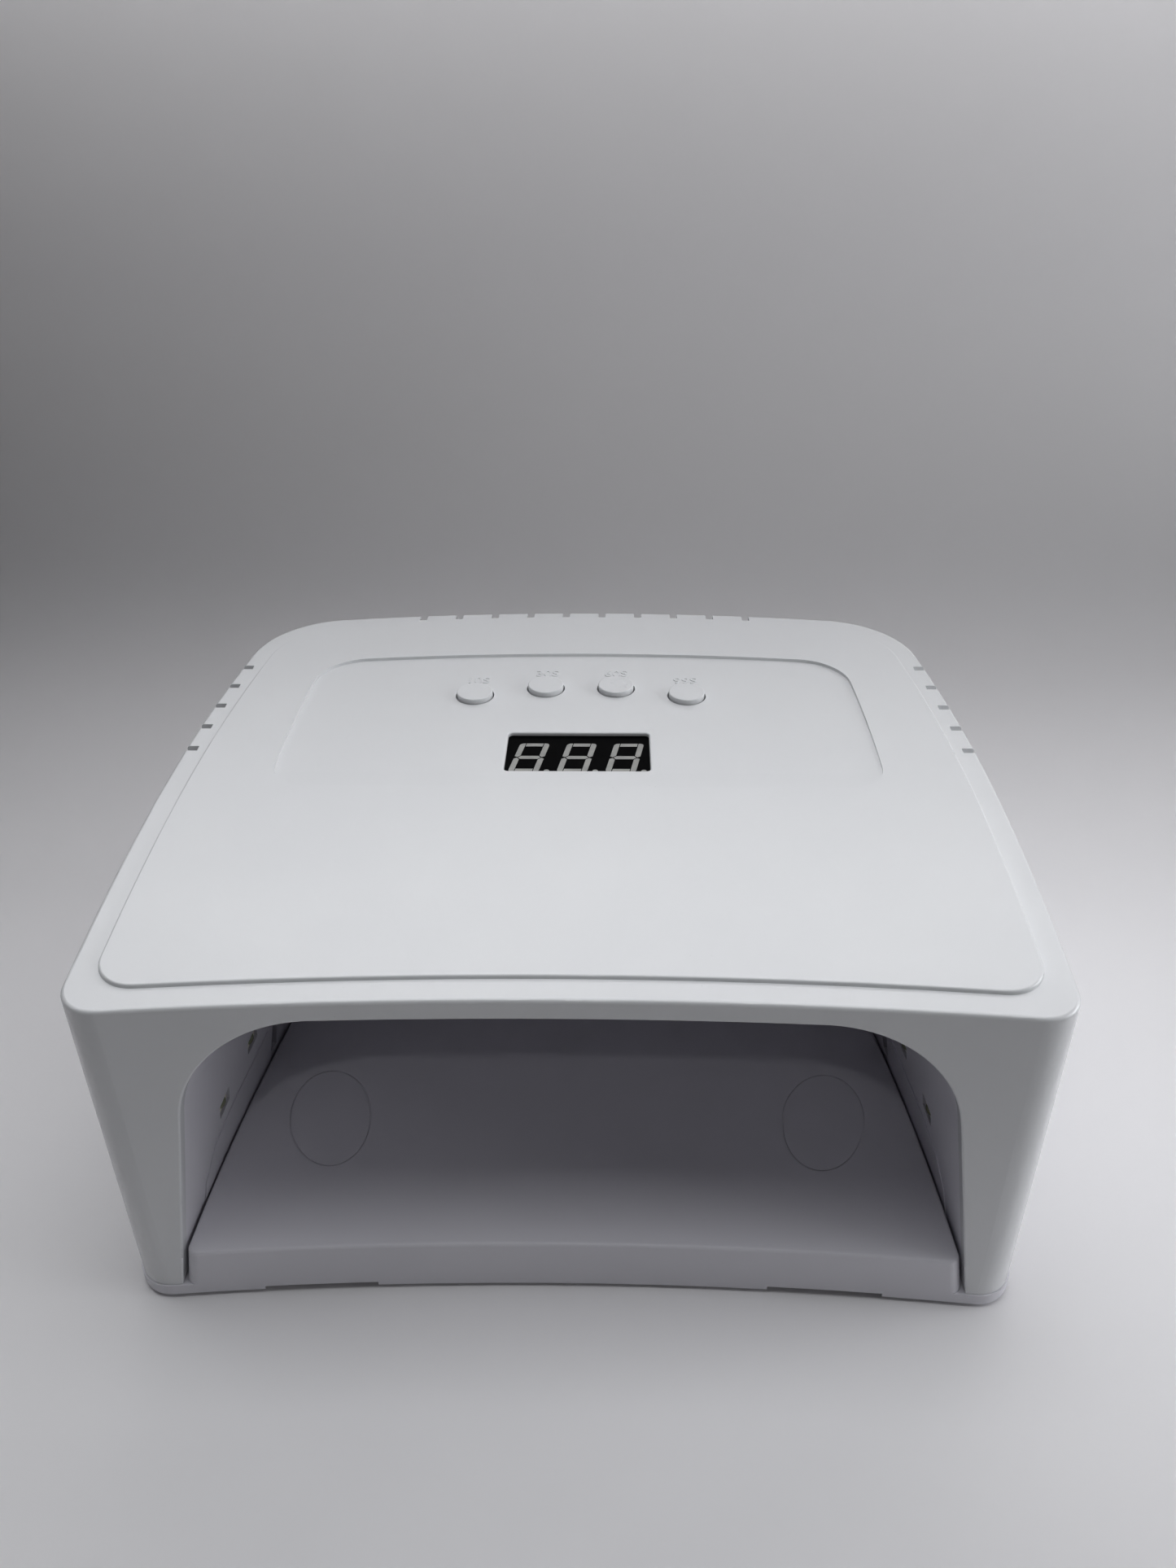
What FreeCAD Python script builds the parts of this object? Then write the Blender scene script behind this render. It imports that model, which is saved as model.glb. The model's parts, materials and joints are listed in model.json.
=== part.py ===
import FreeCAD, Part
import math
import os

# Gel nail curing lamp: a hollow housing full of LEDs that stands on a separate floor tray.
# Millimetres. +Z is up and z = 0 is the table. The hand opening faces -Y. X = 0 is the
# centre plane, and the origin is under the middle of the tray.

V = FreeCAD.Vector
Placement = FreeCAD.Placement
Rotation = FreeCAD.Rotation

# ---- Housing plan, at its top edge: concave front, bowed sides, bowed rear ----
FRONT_Y = -86.4
FRONT_BOW_R = 1050.0
SIDE_X = 105.65
WIDEST_Y = -17.4
SIDE_FRONT_R = 970.0
SIDE_REAR_R = 620.0
REAR_Y = 89.5
REAR_BOW_R = 590.0
FRONT_CORNER_R = 8.5
REAR_CORNER_R = 27.0
WALL_DRAFT = 0.75
WALL = 2.2
FRONT_WALL = 2.8
TOP_PLATE = 2.5
EDGE_ROUND = 0.9

# ---- Heights ----
FOOT_STAND = 1.3
FLANGE_TOP_Z = 4.4
FLANGE_OUT = 0.5
FLANGE_FRONT_OUT = 0.3
SEAM_GAP = 0.1
HOUSING_BOTTOM_Z = FLANGE_TOP_Z + SEAM_GAP
TRAY_FLOOR_Z = 15.6

# ---- Top surfaces, each a plane z = height at y 0 + slope * y ----
RIM_Z = 94.84
RIM_SLOPE = math.tan(math.radians(2.5))
PANEL_FADE_Y = 72.6
PANEL_FALL = 0.0059
PANEL_SLOPE = RIM_SLOPE - PANEL_FALL
PANEL_Z = RIM_Z + PANEL_FALL * PANEL_FADE_Y
PANEL_SIDE_INSET = 5.85
PANEL_INSET = 6.3
PANEL_CORNER_R = 9.0
PANEL_SINK = 1.5
PANEL_ROUND = 0.5
EDGE_SPREAD = 0.2

# ---- Button pocket: its front edge is a shallow ramp, the rest is a small step ----
POCKET_FRONT_Y = -10.9
POCKET_REAR_Y = 61.0
POCKET_REAR_BOW_R = 620.0
POCKET_HALF_WIDTH = 79.1
POCKET_WIDEST_Y = 12.0
POCKET_SIDE_BOW_R = 600.0
POCKET_FRONT_BOW_R = 20000.0
POCKET_FRONT_CORNER_R = 9.5
POCKET_REAR_CORNER_R = 15.0
POCKET_FRONT_DEPTH = 0.3
POCKET_REAR_DEPTH = 0.85
POCKET_RAMP = 6.6
POCKET_RAMP_LEFT = 0.14
POCKET_FALL = (POCKET_REAR_DEPTH - POCKET_FRONT_DEPTH) / (POCKET_REAR_Y - POCKET_FRONT_Y)
POCKET_SLOPE = PANEL_SLOPE - POCKET_FALL
POCKET_Z = PANEL_Z - POCKET_FRONT_DEPTH + POCKET_FALL * POCKET_FRONT_Y

# ---- Cooling slots that notch the top edge ----
SLOT_BITE = 3.4
SLOT_PAIRS = 5
SIDE_SLOT_Y = 7.1
SIDE_SLOT_PITCH = 11.26
SIDE_SLOT_HALF_WIDTH = 1.1
SIDE_SLOT_FOOT_Z = 70.0
REAR_SLOT_PITCH = 11.46
REAR_SLOT_HALF_WIDTH = 1.15
REAR_SLOT_FOOT_Z = 64.0

# ---- Hand cavity: leaning bowed walls, a roof that falls to the rear, wide round corners ----
CAVITY_X = 93.4
CAVITY_WIDEST_Y = -108.4
CAVITY_SIDE_R = 667.0
CAVITY_REAR_Y = 67.6
CAVITY_REAR_BOW_R = 590.0
CAVITY_CORNER_R = 50.0
CAVITY_LEAN_ANGLE = 9.7
CAVITY_LEAN = math.tan(math.radians(CAVITY_LEAN_ANGLE))
ROOF_SLOPE = -0.0933
ROOF_Z = 85.9 + ROOF_SLOPE * -FRONT_Y
ROOF_CORNER_R = 31.0
MOUTH_ROUND = 0.5
REACH = 150.0

# ---- Reflector liner: wall, slit between its two halves, and ledge at its foot ----
LINER = 1.8
LINER_PLAY = 0.15
SLIT = [(-26.4, 17.0), (-22.6, 17.0), (-21.6, 52.0), (-25.2, 52.0)]
LEDGE = [(-76.0, 5.0), (-74.0, 20.0), (-68.0, 26.0), (-56.0, 27.5), (-40.0, 27.5),
         (-27.5, 28.5), (-27.5, 5.0)]
LEDGE_DEPTH = 0.25

# ---- LEDs: package height, width and thickness, and the openings they look through ----
LED_SIZE = (3.4, 5.0, 1.5)
LED_WINDOW = (4.6, 6.6)
LED_LENS_R = 2.0
LED_RISE = 0.25
LED_BACK = LINER + LED_RISE
STRIP = 1.0
STRIP_FACE = LED_BACK + 0.1
STRIP_HALF_HEIGHT = 4.6
SIDE_LED_YS = [-60.6 + 19.6 * i for i in range(5)]
SIDE_LED_Z = 33.5
SIDE_LED_RISE = 0.12
REAR_LED_XS = (-24.0, 0.0, 24.0)
REAR_LED_Z = 36.0
ROOF_LED_XS = (-32.0, -16.0, 0.0, 16.0, 32.0)
ROOF_LED_YS = (-60.0, -36.0, -12.0, 12.0)
SENSOR_XS = (-5.0, 5.0)
SENSOR_Y = -72.0
SENSOR_R = 2.45
SENSOR_HOLE_R = 2.7

# ---- Controls, in a frame that lies on the pocket floor ----
BUTTON_PLACES = {
    "10s": (-30.35, 36.5),
    "30s": (-10.15, 40.8),
    "60s": (10.15, 40.8),
    "99s": (30.35, 36.5),
}
BUTTON_R = 5.1
BUTTON_HOLE_R = 5.5
BUTTON_PROUD = 1.5
BUTTON_EDGE = 0.3
BUTTON_SKIRT = -2.4
BUTTON_FLANGE_R = 6.4
BUTTON_FLANGE = 1.0
STEM_R = 2.2
STEM_BOTTOM = -4.6
WINDOW_SIZE = (38.1, 19.05)
WINDOW_Y = 6.43
WINDOW_CORNER_R = 1.2
WINDOW_ROUND = 0.5
DISPLAY_SIZE = (38.6, 22.0)
DISPLAY_Y = 5.4
DIGIT_Y = 4.95
DISPLAY_FACE = -1.15
DIGIT_XS = (-12.9, -0.2, 12.5)
BOARD_TOP = -9.2
BOARD_THICK = 1.6
BOARD_BOTTOM = BOARD_TOP - BOARD_THICK
BOARD_SIZE = (86.0, 58.0)
BOARD_Y = 21.0
BOARD_SCREWS = [(x, y) for x in (-39.0, 39.0) for y in (-4.0, 46.0)]
SWITCH_HALF = 3.0
SWITCH_TOP = BOARD_TOP + 3.4
PLUNGER_R = 1.72
PLUNGER_HOLE_R = 1.8
PLUNGER_SEAT = 1.8
PLUNGER_DEPTH = 0.8
CONNECTORS = {
    "power": (0.0, 44.0),
    "rear": (14.0, 44.0),
    "right": (38.0, 10.0),
    "left": (-38.0, 10.0),
    "roof": (0.0, 18.0),
}
CONNECTOR_HALF = (4.0, 2.0)
CONNECTOR_DEEP = 1.8

# ---- Fixings ----
LINER_SCREWS = [(-95.5, -66.0), (95.5, -66.0), (-87.0, 46.0), (87.0, 46.0)]
EAR_BOTTOM_Z = 24.0
EAR_TOP_Z = 26.5
EAR_HALF_WIDTH = 5.0
EAR_ROOT = 15.0
POST_R = 3.5
BOARD_POST_R = 2.8
MAGNETS = [(-98.9, -77.0), (98.9, -77.0), (-96.6, 54.0), (96.6, 54.0)]
MAGNET_R = 2.5
MAGNET_POCKET_R = 2.55
FEET = [(-97.2, -60.0), (97.2, -60.0), (-80.0, 72.0), (80.0, 72.0)]
FOOT_R = 5.0
FOOT_SEAT = 0.8

# ---- Floor tray ----
TRAY_GAP = 0.65
TRAY_SKIN = 2.0
TRAY_FRONT_SKIN = 1.5
TRAY_FRONT_CORNER_R = 2.5
LIP_R = 0.8
RIB_HALF = 0.8
RIB_YS = (-45.0, 0.0, 35.0)
RIB_XS = (-45.0, 0.0, 45.0)
NOTCH_XS = (46.5, 73.5)
OVAL_PLACE = (64.4, -48.3)
OVAL_RADII = (16.8, 10.6)
OVAL_LINE = 0.5
OVAL_DEPTH = 0.4
OVAL_SPLAY = 15.6

# ---- Rear inlet ----
INLET_Z = 20.0
INLET_BARREL_R = 5.0
INLET_BORE_R = 3.15
TAB_XS = (-2.6, 2.6)


# ======================= helpers =======================

def vec(point, z):
    return V(point[0], point[1], z)


def circles_meet(c1, r1, c2, r2, near):
    """The crossing of two circles that lies nearest to a point."""
    dx, dy = c2[0] - c1[0], c2[1] - c1[1]
    d = math.hypot(dx, dy)
    along = (r1 * r1 - r2 * r2 + d * d) / (2 * d)
    off = math.sqrt(r1 * r1 - along * along)
    mx, my = c1[0] + along * dx / d, c1[1] + along * dy / d
    crossings = [(mx - off * dy / d, my + off * dx / d), (mx + off * dy / d, my - off * dx / d)]
    return min(crossings, key=lambda p: math.dist(p, near))


def on_circle(centre, radius, toward):
    """Point of a circle in the direction of another point."""
    d = math.dist(centre, toward)
    return tuple(c + radius * (t - c) / d for c, t in zip(centre, toward))


def arc_edge(centre, radius, start, end, z):
    """Short arc about a centre, at height z."""
    middle = on_circle(centre, radius, tuple((a + b) / 2 for a, b in zip(start, end)))
    return Part.Arc(vec(start, z), vec(middle, z), vec(end, z)).toShape()


def mirrored(point):
    return (-point[0], point[1])


def mirror_x(shape):
    return shape.mirror(V(0, 0, 0), V(1, 0, 0))


def box(x0, x1, y0, y1, z0, z1):
    return Part.makeBox(x1 - x0, y1 - y0, z1 - z0, V(x0, y0, z0))


def cylinder(x, y, z0, z1, radius):
    return Part.makeCylinder(radius, z1 - z0, V(x, y, z0))


def rounded_prism(width, depth, radius, z0, z1, centre=(0.0, 0.0)):
    """Upright block with rounded vertical edges, centred on a point."""
    x, y = centre
    block = box(x - width / 2, x + width / 2, y - depth / 2, y + depth / 2, z0, z1)
    upright = [e for e in block.Edges if abs(e.tangentAt(e.FirstParameter).z) > 0.9]
    return block.makeFillet(radius, upright)


def above_plane(height, slope):
    """Everything over the plane z = height + slope * y."""
    far, top = 200.0, 300.0
    corners = [(-far, height - slope * far), (far, height + slope * far), (far, top), (-far, top)]
    outline = Part.makePolygon([V(-far, y, z) for y, z in corners + corners[:1]])
    return Part.Face(outline).extrude(V(2 * far, 0, 0))


def group(shapes):
    return Part.makeCompound(list(shapes))


def fused(shapes):
    shapes = list(shapes)
    return shapes[0].multiFuse(shapes[1:]).removeSplitter() if len(shapes) > 1 else shapes[0]


def tube(points, radius, bend):
    """Round wire along straight runs joined by tangent arcs."""
    edges = []
    start = points[0]
    for before, corner, after in zip(points, points[1:], points[2:]):
        back, ahead = (before - corner).normalize(), (after - corner).normalize()
        half = back.getAngle(ahead) / 2
        reach = bend / math.tan(half)
        first, last = corner + back * reach, corner + ahead * reach
        centre = corner + (back + ahead).normalize() * (bend / math.sin(half))
        middle = centre + (corner - centre).normalize() * bend
        edges.append(Part.LineSegment(start, first).toShape())
        edges.append(Part.Arc(first, middle, last).toShape())
        start = last
    edges.append(Part.LineSegment(start, points[-1]).toShape())
    path = Part.Wire(edges)
    heading = (points[1] - points[0]).normalize()
    section = Part.Wire(Part.makeCircle(radius, points[0], heading))
    return path.makePipeShell([section], True, False)


# ======================= plan outlines =======================

def outline(z, front, fore, aft, rear, nose_r, tail_r):
    """Closed outline, symmetric about x = 0, of four arcs a side with rounded corners.

    Each arc is (centre, radius). The front one is hollow and the others bulge outward.
    """
    widest = fore[0][0] + fore[1]
    nose = circles_meet(front[0], front[1] + nose_r, fore[0], fore[1] - nose_r,
                        (widest, front[0][1] + front[1]))
    tail = circles_meet(aft[0], aft[1] - tail_r, rear[0], rear[1] - tail_r,
                        (widest, rear[0][1] + rear[1]))
    a = on_circle(*front, nose)
    b = on_circle(*fore, nose)
    c = (widest, fore[0][1])
    d = on_circle(*aft, tail)
    e = on_circle(*rear, tail)
    half = [(nose, nose_r, a, b), (*fore, b, c), (*aft, c, d), (tail, tail_r, d, e)]
    edges = [arc_edge(*front, mirrored(a), a, z)]
    edges += [arc_edge(centre, radius, start, end, z) for centre, radius, start, end in half]
    edges.append(arc_edge(*rear, e, mirrored(e), z))
    edges += [arc_edge(mirrored(centre), radius, mirrored(end), mirrored(start), z)
              for centre, radius, start, end in reversed(half)]
    return Part.Wire(edges)


def housing_wire(z, side, front, rear, front_corner, rear_corner):
    """Outline of the housing at height z, grown outward on its sides, front and rear."""
    front_arc = ((0, FRONT_Y - FRONT_BOW_R), FRONT_BOW_R - front)
    fore_arc = ((SIDE_X - SIDE_FRONT_R, WIDEST_Y), SIDE_FRONT_R + side)
    aft_arc = ((SIDE_X - SIDE_REAR_R, WIDEST_Y), SIDE_REAR_R + side)
    rear_arc = ((0, REAR_Y - REAR_BOW_R), REAR_BOW_R + rear)
    return outline(z, front_arc, fore_arc, aft_arc, rear_arc, front_corner, rear_corner)


def housing_prism(z0, z1, grow, front=None, corner_grow=None):
    """Straight-sided block on the housing's plan."""
    front = grow if front is None else front
    corner = grow if corner_grow is None else corner_grow
    wire = housing_wire(z0, grow, front, grow, FRONT_CORNER_R + corner, REAR_CORNER_R + grow)
    return Part.Face(wire).extrude(V(0, 0, z1 - z0))


def housing_block(z0, z1, inset):
    """Block with the housing's drafted walls, set in from the outer face."""
    def wire(z):
        draft = WALL_DRAFT * (RIM_Z - z) / (RIM_Z - HOUSING_BOTTOM_Z)
        front_inset = FRONT_WALL if inset else 0.0
        return housing_wire(z, draft - inset, -front_inset, draft - inset,
                            FRONT_CORNER_R - inset, REAR_CORNER_R + draft - inset)
    return Part.makeLoft([wire(z0), wire(z1)], True, True)


def pocket_wire(z, grow):
    """Outline of the button pocket, grown outward all round."""
    front = ((0, POCKET_FRONT_Y - POCKET_FRONT_BOW_R), POCKET_FRONT_BOW_R - grow)
    side_centre = (POCKET_HALF_WIDTH - POCKET_SIDE_BOW_R, POCKET_WIDEST_Y)
    side = (side_centre, POCKET_SIDE_BOW_R + grow)
    rear = ((0, POCKET_REAR_Y - POCKET_REAR_BOW_R), POCKET_REAR_BOW_R + grow)
    return outline(z, front, side, side, rear,
                   POCKET_FRONT_CORNER_R + grow, POCKET_REAR_CORNER_R + grow)


def cavity_arcs(z, grow=0.0):
    """Side, corner and rear arcs of the cavity's right half at height z: (centre, radius)."""
    lean = CAVITY_LEAN * z
    side = ((CAVITY_X - CAVITY_SIDE_R, CAVITY_WIDEST_Y), CAVITY_SIDE_R - lean + grow)
    rear = ((0, CAVITY_REAR_Y - CAVITY_REAR_BOW_R), CAVITY_REAR_BOW_R - lean + grow)
    corner_r = CAVITY_CORNER_R - lean + grow
    bend = circles_meet(side[0], side[1] - corner_r, rear[0], rear[1] - corner_r,
                        (CAVITY_X, CAVITY_REAR_Y))
    return side, (bend, corner_r), rear


def side_wall_x(y, z, grow=0.0):
    """Half width between the cavity's side walls."""
    (x0, y0), radius = cavity_arcs(z, grow)[0]
    return x0 + math.sqrt(radius ** 2 - (y - y0) ** 2)


def rear_wall_y(x, z, grow=0.0):
    (x0, y0), radius = cavity_arcs(z, grow)[2]
    return y0 + math.sqrt(radius ** 2 - (x - x0) ** 2)


def cavity_wire(z, grow):
    """Outline of the hand cavity at height z, open run continued well past the front."""
    side, corner, rear = cavity_arcs(z, grow)
    start = (side_wall_x(-REACH, z, grow), -REACH)
    a = on_circle(*side, corner[0])
    b = on_circle(*rear, corner[0])
    half = [(*side, start, a), (*corner, a, b)]
    edges = [Part.LineSegment(vec(mirrored(start), z), vec(start, z)).toShape()]
    edges += [arc_edge(centre, radius, p, q, z) for centre, radius, p, q in half]
    edges.append(arc_edge(*rear, b, mirrored(b), z))
    edges += [arc_edge(mirrored(centre), radius, mirrored(q), mirrored(p), z)
              for centre, radius, p, q in reversed(half)]
    return Part.Wire(edges)


def cavity_block(grow):
    """The hand cavity as a solid, grown outward: leaning walls under a rounded roof."""
    shape = Part.makeLoft([cavity_wire(-5.0, grow), cavity_wire(110.0, grow)], True, True)
    shape = shape.cut(above_plane(ROOF_Z + grow, ROOF_SLOPE))
    roof_edges = []
    for edge in shape.Edges:
        middle = edge.valueAt((edge.FirstParameter + edge.LastParameter) / 2)
        on_ceiling = abs(middle.z - ROOF_Z - grow - ROOF_SLOPE * middle.y) < 0.05
        if on_ceiling and middle.y > 1.0 - REACH:
            roof_edges.append(edge)
    return shape.makeFillet(ROOF_CORNER_R + grow, roof_edges)


# ======================= placing =======================

def placed(shape, placement):
    moved = shape.copy()
    moved.Placement = placement.multiply(shape.Placement)
    return moved


def on_slope(shape, height, slope, x=0.0, y=0.0):
    """Move a shape drawn on XY to a point of the plane z = height + slope * y."""
    lie = Placement(V(0, 0, height), Rotation(V(1, 0, 0), math.degrees(math.atan(slope))))
    return placed(shape, lie.multiply(Placement(V(x, y, 0), Rotation())))


def on_controls(shape, x=0.0, y=0.0):
    """Move a shape drawn on the pocket floor's own plane to a point of that floor."""
    return on_slope(shape, POCKET_Z, POCKET_SLOPE, x, y)


def on_wall(shape, z, arc, angle, roll=0.0):
    """Move a shape drawn on XY, facing +Z, onto a leaning cavity wall, facing outward."""
    (x0, y0), radius = arc
    place = V(x0 + radius * math.cos(angle), y0 + radius * math.sin(angle), z)
    stand = Rotation(V(0, 0, 1), math.degrees(angle))
    stand = stand.multiply(Rotation(V(0, 1, 0), 90 - CAVITY_LEAN_ANGLE))
    return placed(shape, Placement(place, stand.multiply(Rotation(V(0, 0, 1), roll))))


def on_roof(shape, x, y):
    """Move a shape drawn on XY, facing +Z, onto the cavity's sloping roof."""
    tilt = math.degrees(math.atan(ROOF_SLOPE))
    place = V(x, y, ROOF_Z + ROOF_SLOPE * y)
    return placed(shape, Placement(place, Rotation(V(1, 0, 0), tilt)))


def led_row_z(y):
    """Height of the row of LEDs in a side wall."""
    return SIDE_LED_Z + SIDE_LED_RISE * (y - SIDE_LED_YS[0])


def at_every_led(shape):
    """Copies of a shape at each LED: sides, rear corners, rear wall and roof."""
    roll = math.degrees(math.atan(SIDE_LED_RISE))
    right = []
    for y in SIDE_LED_YS:
        z = led_row_z(y)
        side = cavity_arcs(z)[0]
        right.append(on_wall(shape, z, side, math.asin((y - side[0][1]) / side[1]), roll))
    side, corner, rear = cavity_arcs(REAR_LED_Z)
    start = math.atan2(corner[0][1] - side[0][1], corner[0][0] - side[0][0])
    end = math.atan2(corner[0][1] - rear[0][1], corner[0][0] - rear[0][0])
    right.append(on_wall(shape, REAR_LED_Z, corner, (start + end) / 2))
    left = [mirror_x(s) for s in right]
    back = [on_wall(shape, REAR_LED_Z, rear, math.acos(x / rear[1])) for x in REAR_LED_XS]
    crosswise = placed(shape, Placement(V(), Rotation(V(0, 0, 1), 90)))
    roof = [on_roof(crosswise, x, y) for x in ROOF_LED_XS for y in ROOF_LED_YS]
    return right + left + back + roof


# ======================= housing =======================

def make_panel():
    """Low panel on the housing's top, its sloping edge sunk into the top plate."""
    def wire(z, grow):
        return housing_wire(z, grow - PANEL_SIDE_INSET, grow - PANEL_INSET, grow - PANEL_INSET,
                            PANEL_CORNER_R + grow, REAR_CORNER_R - PANEL_INSET + grow)
    sunk = wire(-PANEL_SINK, PANEL_SINK * EDGE_SPREAD)
    panel = Part.makeLoft([sunk, wire(0.0, 0.0)], True, True)
    panel = panel.makeFillet(PANEL_ROUND, [e for e in panel.Edges if e.BoundBox.ZMin > -0.01])
    return on_slope(panel, PANEL_Z, PANEL_SLOPE)


def pocket_cut():
    """The button pocket: sloping edges, and a ramp that lets its front edge die away."""
    tall, inward = 3.0, -0.05
    wires = [pocket_wire(0.0, inward), pocket_wire(tall, inward + tall * EDGE_SPREAD)]
    sink = Part.makeLoft(wires, True, True)
    rise = (POCKET_FRONT_DEPTH - POCKET_RAMP_LEFT) / POCKET_RAMP
    run = 2 * POCKET_RAMP
    foot = POCKET_FRONT_Y + POCKET_RAMP
    corners = [(foot, 0.0), (foot - run, run * rise), (foot - run, -1.0), (foot, -1.0)]
    wedge = Part.makePolygon([V(-REACH, y, z) for y, z in corners + corners[:1]])
    sink = sink.cut(Part.Face(wedge).extrude(V(2 * REACH, 0, 0)))
    return on_controls(sink)


def vent_slots():
    """Slots that notch the top edge of the sides and the rear, and run down the walls."""
    slots = []
    for i in range(SLOT_PAIRS):
        y = SIDE_SLOT_Y + SIDE_SLOT_PITCH * i
        edge = SIDE_X - (y - WIDEST_Y) ** 2 / (2 * SIDE_REAR_R)
        slots.append(box(edge - SLOT_BITE, edge + 5, y - SIDE_SLOT_HALF_WIDTH,
                         y + SIDE_SLOT_HALF_WIDTH, SIDE_SLOT_FOOT_Z, 110.0))
        x = REAR_SLOT_PITCH * (i + 0.5)
        edge = REAR_Y - x * x / (2 * REAR_BOW_R)
        slots.append(box(x - REAR_SLOT_HALF_WIDTH, x + REAR_SLOT_HALF_WIDTH,
                         edge - SLOT_BITE, edge + 5, REAR_SLOT_FOOT_Z, 110.0))
    return slots + [mirror_x(slot) for slot in slots]


def window_cut():
    """Display window through the top plate, with a softened rim."""
    return on_controls(rounded_prism(*WINDOW_SIZE, WINDOW_CORNER_R, -6.0, 6.0, (0.0, WINDOW_Y)))


def display_seat():
    """Thinned seat for the display under the window."""
    width, depth = DISPLAY_SIZE
    play, top = 1.0, DISPLAY_FACE + 0.1
    return on_controls(rounded_prism(width + play, depth + play, 0.8, -7.0, top,
                                     (0.0, DISPLAY_Y)))


def round_window(shell):
    """Soften the rim of the display window."""
    half_w, half_d = WINDOW_SIZE[0] / 2 + 0.05, WINDOW_SIZE[1] / 2 + 0.05
    rim = []
    for edge in shell.Edges:
        middle = edge.valueAt((edge.FirstParameter + edge.LastParameter) / 2)
        on_floor = abs(middle.z - POCKET_Z - POCKET_SLOPE * middle.y) < 0.01
        if on_floor and abs(middle.x) < half_w and abs(middle.y - WINDOW_Y) < half_d:
            rim.append(edge)
    return shell.makeFillet(WINDOW_ROUND, rim)


def screw_posts():
    """Round posts under the top plate for the liner's and the control board's screws."""
    solid = [cylinder(x, y, EAR_TOP_Z, RIM_Z - 1.5 + RIM_SLOPE * y, POST_R)
             for x, y in LINER_SCREWS]
    solid += [on_controls(cylinder(x, y, BOARD_TOP, -1.4, BOARD_POST_R)) for x, y in BOARD_SCREWS]
    bores = [cylinder(x, y, EAR_TOP_Z - 1, EAR_TOP_Z + 13.0, 1.35) for x, y in LINER_SCREWS]
    bores += [on_controls(cylinder(x, y, BOARD_TOP - 1, BOARD_TOP + 5.5, 1.15))
              for x, y in BOARD_SCREWS]
    return solid, bores


def make_top_shell(cavity):
    outer = housing_block(HOUSING_BOTTOM_Z, 102.0, 0.0).cut(above_plane(RIM_Z, RIM_SLOPE))
    rim = [e for e in outer.Edges
           if e.BoundBox.ZMin > RIM_Z - 6 and e.BoundBox.ZLength < 8]
    outer = outer.makeFillet(EDGE_ROUND, rim)
    within = outer
    outer = outer.fuse(make_panel()).cut(pocket_cut()).cut(window_cut())
    outer = round_window(outer)
    hollow = housing_block(HOUSING_BOTTOM_Z - 2, 102.0, WALL)
    hollow = hollow.cut(above_plane(RIM_Z - TOP_PLATE, RIM_SLOPE))
    shell = outer.cut(hollow)
    posts, bores = screw_posts()
    bosses = [cylinder(x, y, HOUSING_BOTTOM_Z, 12.0, 4.1) for x, y in MAGNETS]
    shell = shell.multiFuse([post.common(within) for post in posts + bosses])
    sockets = [cylinder(x, y, HOUSING_BOTTOM_Z - 1, HOUSING_BOTTOM_Z + 3.1, MAGNET_POCKET_R)
               for x, y in MAGNETS]
    holes = [on_controls(cylinder(x, y, -6.0, 6.0, BUTTON_HOLE_R))
             for x, y in BUTTON_PLACES.values()]
    inlet = Part.makeCylinder(INLET_BARREL_R + 0.1, 30, V(0, 75, INLET_Z), V(0, 1, 0))
    cutters = [cavity, inlet, display_seat()] + bores + sockets + holes + vent_slots()
    return round_mouth(shell.cut(group(cutters)))


def round_mouth(shell):
    """Soften the edge where the hand opening meets the front face."""
    mouth = []
    for edge in shell.Edges:
        points = [edge.valueAt(edge.FirstParameter + (edge.LastParameter - edge.FirstParameter) * t)
                  for t in (0.1, 0.5, 0.9)]
        front = [FRONT_Y - p.x * p.x / (2 * FRONT_BOW_R) for p in points]
        on_face = all(abs(p.y - y) < 0.08 for p, y in zip(points, front))
        inside = all(abs(p.x) < side_wall_x(FRONT_Y, p.z) + 1.0 for p in points)
        below_top = all(p.z < 88.5 for p in points)
        rising = max(p.z for p in points) > HOUSING_BOTTOM_Z + 2
        if on_face and inside and below_top and rising:
            mouth.append(edge)
    return shell.makeFillet(MOUTH_ROUND, mouth)


# ======================= liner =======================

def side_prism(corners):
    """Block that stands across the whole lamp on an outline in the YZ plane."""
    wire = Part.makePolygon([V(-REACH, y, z) for y, z in corners + corners[:1]])
    return Part.Face(wire).extrude(V(2 * REACH, 0, 0))


def make_inner_liner(cavity):
    """Reflector dome inside the housing, with LED windows and four screw ears."""
    room = housing_block(HOUSING_BOTTOM_Z + 0.2, 102.0, WALL + LINER_PLAY)
    liner = cavity_block(LINER).common(room)
    ears = []
    for x, y in LINER_SCREWS:
        side = math.copysign(1, x)
        inner = side * (side_wall_x(y, EAR_TOP_Z) - EAR_ROOT)
        outer = x + side * 3.6
        ears.append(box(min(inner, outer), max(inner, outer), y - EAR_HALF_WIDTH,
                        y + EAR_HALF_WIDTH, EAR_BOTTOM_Z, EAR_TOP_Z))
    liner = liner.multiFuse(ears)
    tall, wide = LED_WINDOW
    windows = at_every_led(box(-tall / 2, tall / 2, -wide / 2, wide / 2, -3.0, 6.0))
    sensors = [on_roof(cylinder(x, 0, -3, 6, SENSOR_HOLE_R), 0, SENSOR_Y) for x in SENSOR_XS]
    holes = [cylinder(x, y, 20, 30, 1.7) for x, y in LINER_SCREWS]
    liner = liner.cut(group([cavity, side_prism(SLIT)] + windows + sensors + holes))
    return liner.fuse(make_ledges()).removeSplitter()


def make_ledges():
    """Low ledge along the foot of each side wall, which dies away toward the front."""
    low = HOUSING_BOTTOM_Z + 0.2
    floor = box(-REACH, REACH, -REACH, REACH, low, 60)
    skin = cavity_block(0.05).cut(cavity_block(-LEDGE_DEPTH))
    return skin.common(side_prism(LEDGE)).common(floor)


# ======================= LED parts =======================

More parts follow.
